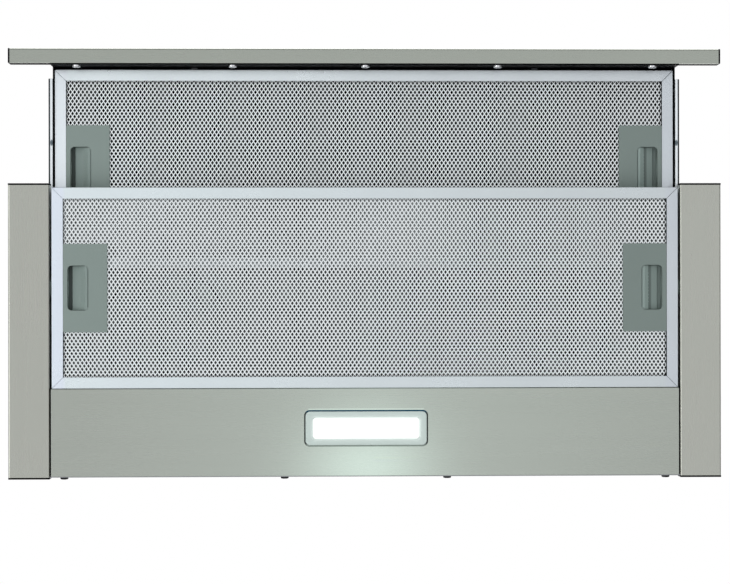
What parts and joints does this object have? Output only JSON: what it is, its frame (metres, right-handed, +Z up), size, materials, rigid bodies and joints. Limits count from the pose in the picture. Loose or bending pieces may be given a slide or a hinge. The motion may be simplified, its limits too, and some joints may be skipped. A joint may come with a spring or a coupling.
{
  "type": "pull out range hood",
  "caption": "Cabinet mounted pull out range hood: a fixed housing with lamp and blowers, a drawer on ball rails, and a grease filter in each.",
  "frame": {"origin": "middle of the footprint with the drawer 100 mm out, on the plane of the side trims' undersides", "axes": "+X along the front panel, -Y towards the user, +Z up to the duct"},
  "size_m": [0.598, 0.3612, 0.221],
  "materials": {
    "stainless": "brushed stainless sheet",
    "galvanised": "galvanised sheet with a fine spangle",
    "black_steel": "black coated steel, satin",
    "rail_steel": "zinc plated rolled steel",
    "filter_frame": "matt rolled aluminium profile",
    "filter_mesh": "expanded aluminium mesh",
    "handle_plastic": "grey green moulded plastic",
    "black_plastic": "black moulded plastic",
    "grey_plastic": "grey moulded plastic",
    "white_plastic": "white moulded plastic",
    "bezel": "silver lacquered plastic",
    "lens": "frosted lit lens",
    "screw_zinc": "bright zinc plated screws",
    "circuit": "circuit board",
    "motor_steel": "painted steel motor can",
    "cage_brass": "ball cage strip"
  },
  "bodies": {
    "housing": {"housing_shell": "galvanised", "side_trim_left": "stainless", "side_trim_right": "stainless", "trim_end_caps": "black_plastic", "trim_screws": "screw_zinc", "rear_lamp_panel": "stainless", "rear_panel_screws": "black_steel", "lamp_bezel": "bezel", "lamp_lens": "lens", "lamp_housing": "white_plastic", "lamp_led_board": "circuit", "rear_filter_frame": "filter_frame", "rear_filter_mesh": "filter_mesh", "rear_handle_left": "handle_plastic", "rear_handle_right": "handle_plastic", "rail_fixed_left": "rail_steel", "rail_fixed_right": "rail_steel", "blower_plate": "galvanised", "inlet_grilles": "black_plastic", "scroll_base": "black_plastic", "scroll_cover": "black_plastic", "motor_left": "motor_steel", "motor_right": "motor_steel", "outlet_collar": "black_plastic", "flap_pin": "rail_steel", "control_box": "white_plastic", "control_box_cover": "white_plastic", "terminal_block": "white_plastic", "capacitors": "white_plastic", "led_driver": "white_plastic", "cable_gland": "black_plastic"},
    "drawer": {"drawer_pan": "black_steel", "front_filter_frame": "filter_frame", "front_filter_mesh": "filter_mesh", "front_handle_left": "handle_plastic", "front_handle_right": "handle_plastic", "rail_moving_left": "rail_steel", "rail_moving_right": "rail_steel", "fascia_profile": "stainless", "fascia_backing": "black_plastic", "fascia_end_caps": "black_plastic", "fascia_screws": "screw_zinc", "button_bezel": "black_plastic", "switch_board": "circuit"},
    "cage_left": {"ball_cage_left": "cage_brass"},
    "cage_right": {"ball_cage_right": "cage_brass"},
    "rear_latch_left": {"rear_latch_left": "handle_plastic"},
    "rear_latch_right": {"rear_latch_right": "handle_plastic"},
    "front_latch_left": {"front_latch_left": "handle_plastic"},
    "front_latch_right": {"front_latch_right": "handle_plastic"},
    "button_off": {"button_off": "grey_plastic"},
    "button_slow": {"button_slow": "grey_plastic"},
    "button_medium": {"button_medium": "grey_plastic"},
    "button_fast": {"button_fast": "grey_plastic"},
    "button_lamp": {"button_lamp": "grey_plastic"},
    "impeller_left": {"impeller_left": "grey_plastic"},
    "impeller_right": {"impeller_right": "grey_plastic"},
    "flap_left": {"flap_left": "grey_plastic"},
    "flap_right": {"flap_right": "grey_plastic"}
  },
  "joints": [
    {"name": "drawer_slide", "type": "slide", "parent": "housing", "child": "drawer", "axis": [0, -1, 0], "range_m": [-0.1, 0.05]},
    {"name": "cage_slide_left", "type": "slide", "parent": "housing", "child": "cage_left", "axis": [0, -1, 0], "range_m": [-0.05, 0.025]},
    {"name": "cage_slide_right", "type": "slide", "parent": "housing", "child": "cage_right", "axis": [0, -1, 0], "range_m": [-0.05, 0.025]},
    {"name": "rear_latch_slide_left", "type": "slide", "parent": "housing", "child": "rear_latch_left", "axis": [1, 0, 0], "range_m": [0, 0.0045], "stiffness_N_per_m": 300, "springref_m": -0.002},
    {"name": "rear_latch_slide_right", "type": "slide", "parent": "housing", "child": "rear_latch_right", "axis": [-1, 0, 0], "range_m": [0, 0.0045], "stiffness_N_per_m": 300, "springref_m": -0.002},
    {"name": "front_latch_slide_left", "type": "slide", "parent": "drawer", "child": "front_latch_left", "axis": [1, 0, 0], "range_m": [0, 0.0045], "stiffness_N_per_m": 300, "springref_m": -0.002},
    {"name": "front_latch_slide_right", "type": "slide", "parent": "drawer", "child": "front_latch_right", "axis": [-1, 0, 0], "range_m": [0, 0.0045], "stiffness_N_per_m": 300, "springref_m": -0.002},
    {"name": "button_off_press", "type": "slide", "parent": "drawer", "child": "button_off", "axis": [0, 1, 0], "range_m": [0, 0.0015], "stiffness_N_per_m": 300, "springref_m": -0.002},
    {"name": "button_slow_press", "type": "slide", "parent": "drawer", "child": "button_slow", "axis": [0, 1, 0], "range_m": [0, 0.0015], "stiffness_N_per_m": 300, "springref_m": -0.002},
    {"name": "button_medium_press", "type": "slide", "parent": "drawer", "child": "button_medium", "axis": [0, 1, 0], "range_m": [0, 0.0015], "stiffness_N_per_m": 300, "springref_m": -0.002},
    {"name": "button_fast_press", "type": "slide", "parent": "drawer", "child": "button_fast", "axis": [0, 1, 0], "range_m": [0, 0.0015], "stiffness_N_per_m": 300, "springref_m": -0.002},
    {"name": "button_lamp_press", "type": "slide", "parent": "drawer", "child": "button_lamp", "axis": [0, 1, 0], "range_m": [0, 0.0015], "stiffness_N_per_m": 300, "springref_m": -0.002},
    {"name": "impeller_spin_left", "type": "hinge", "parent": "housing", "child": "impeller_left", "pos_m": [-0.172, 0.0564, 0.1], "axis": [0, 0, 1], "continuous": true},
    {"name": "impeller_spin_right", "type": "hinge", "parent": "housing", "child": "impeller_right", "pos_m": [0.172, 0.0564, 0.1], "axis": [0, 0, 1], "continuous": true},
    {"name": "flap_swing_left", "type": "hinge", "parent": "housing", "child": "flap_left", "pos_m": [0, 0.0564, 0.1885], "axis": [0, 1, 0], "range_deg": [0, 80]},
    {"name": "flap_swing_right", "type": "hinge", "parent": "housing", "child": "flap_right", "pos_m": [0, 0.0564, 0.1885], "axis": [0, -1, 0], "range_deg": [0, 80]}
  ],
  "couplings": [
    {"joint": "cage_slide_left", "follows": "drawer_slide", "ratio": 0.5},
    {"joint": "cage_slide_right", "follows": "drawer_slide", "ratio": 0.5}
  ]
}
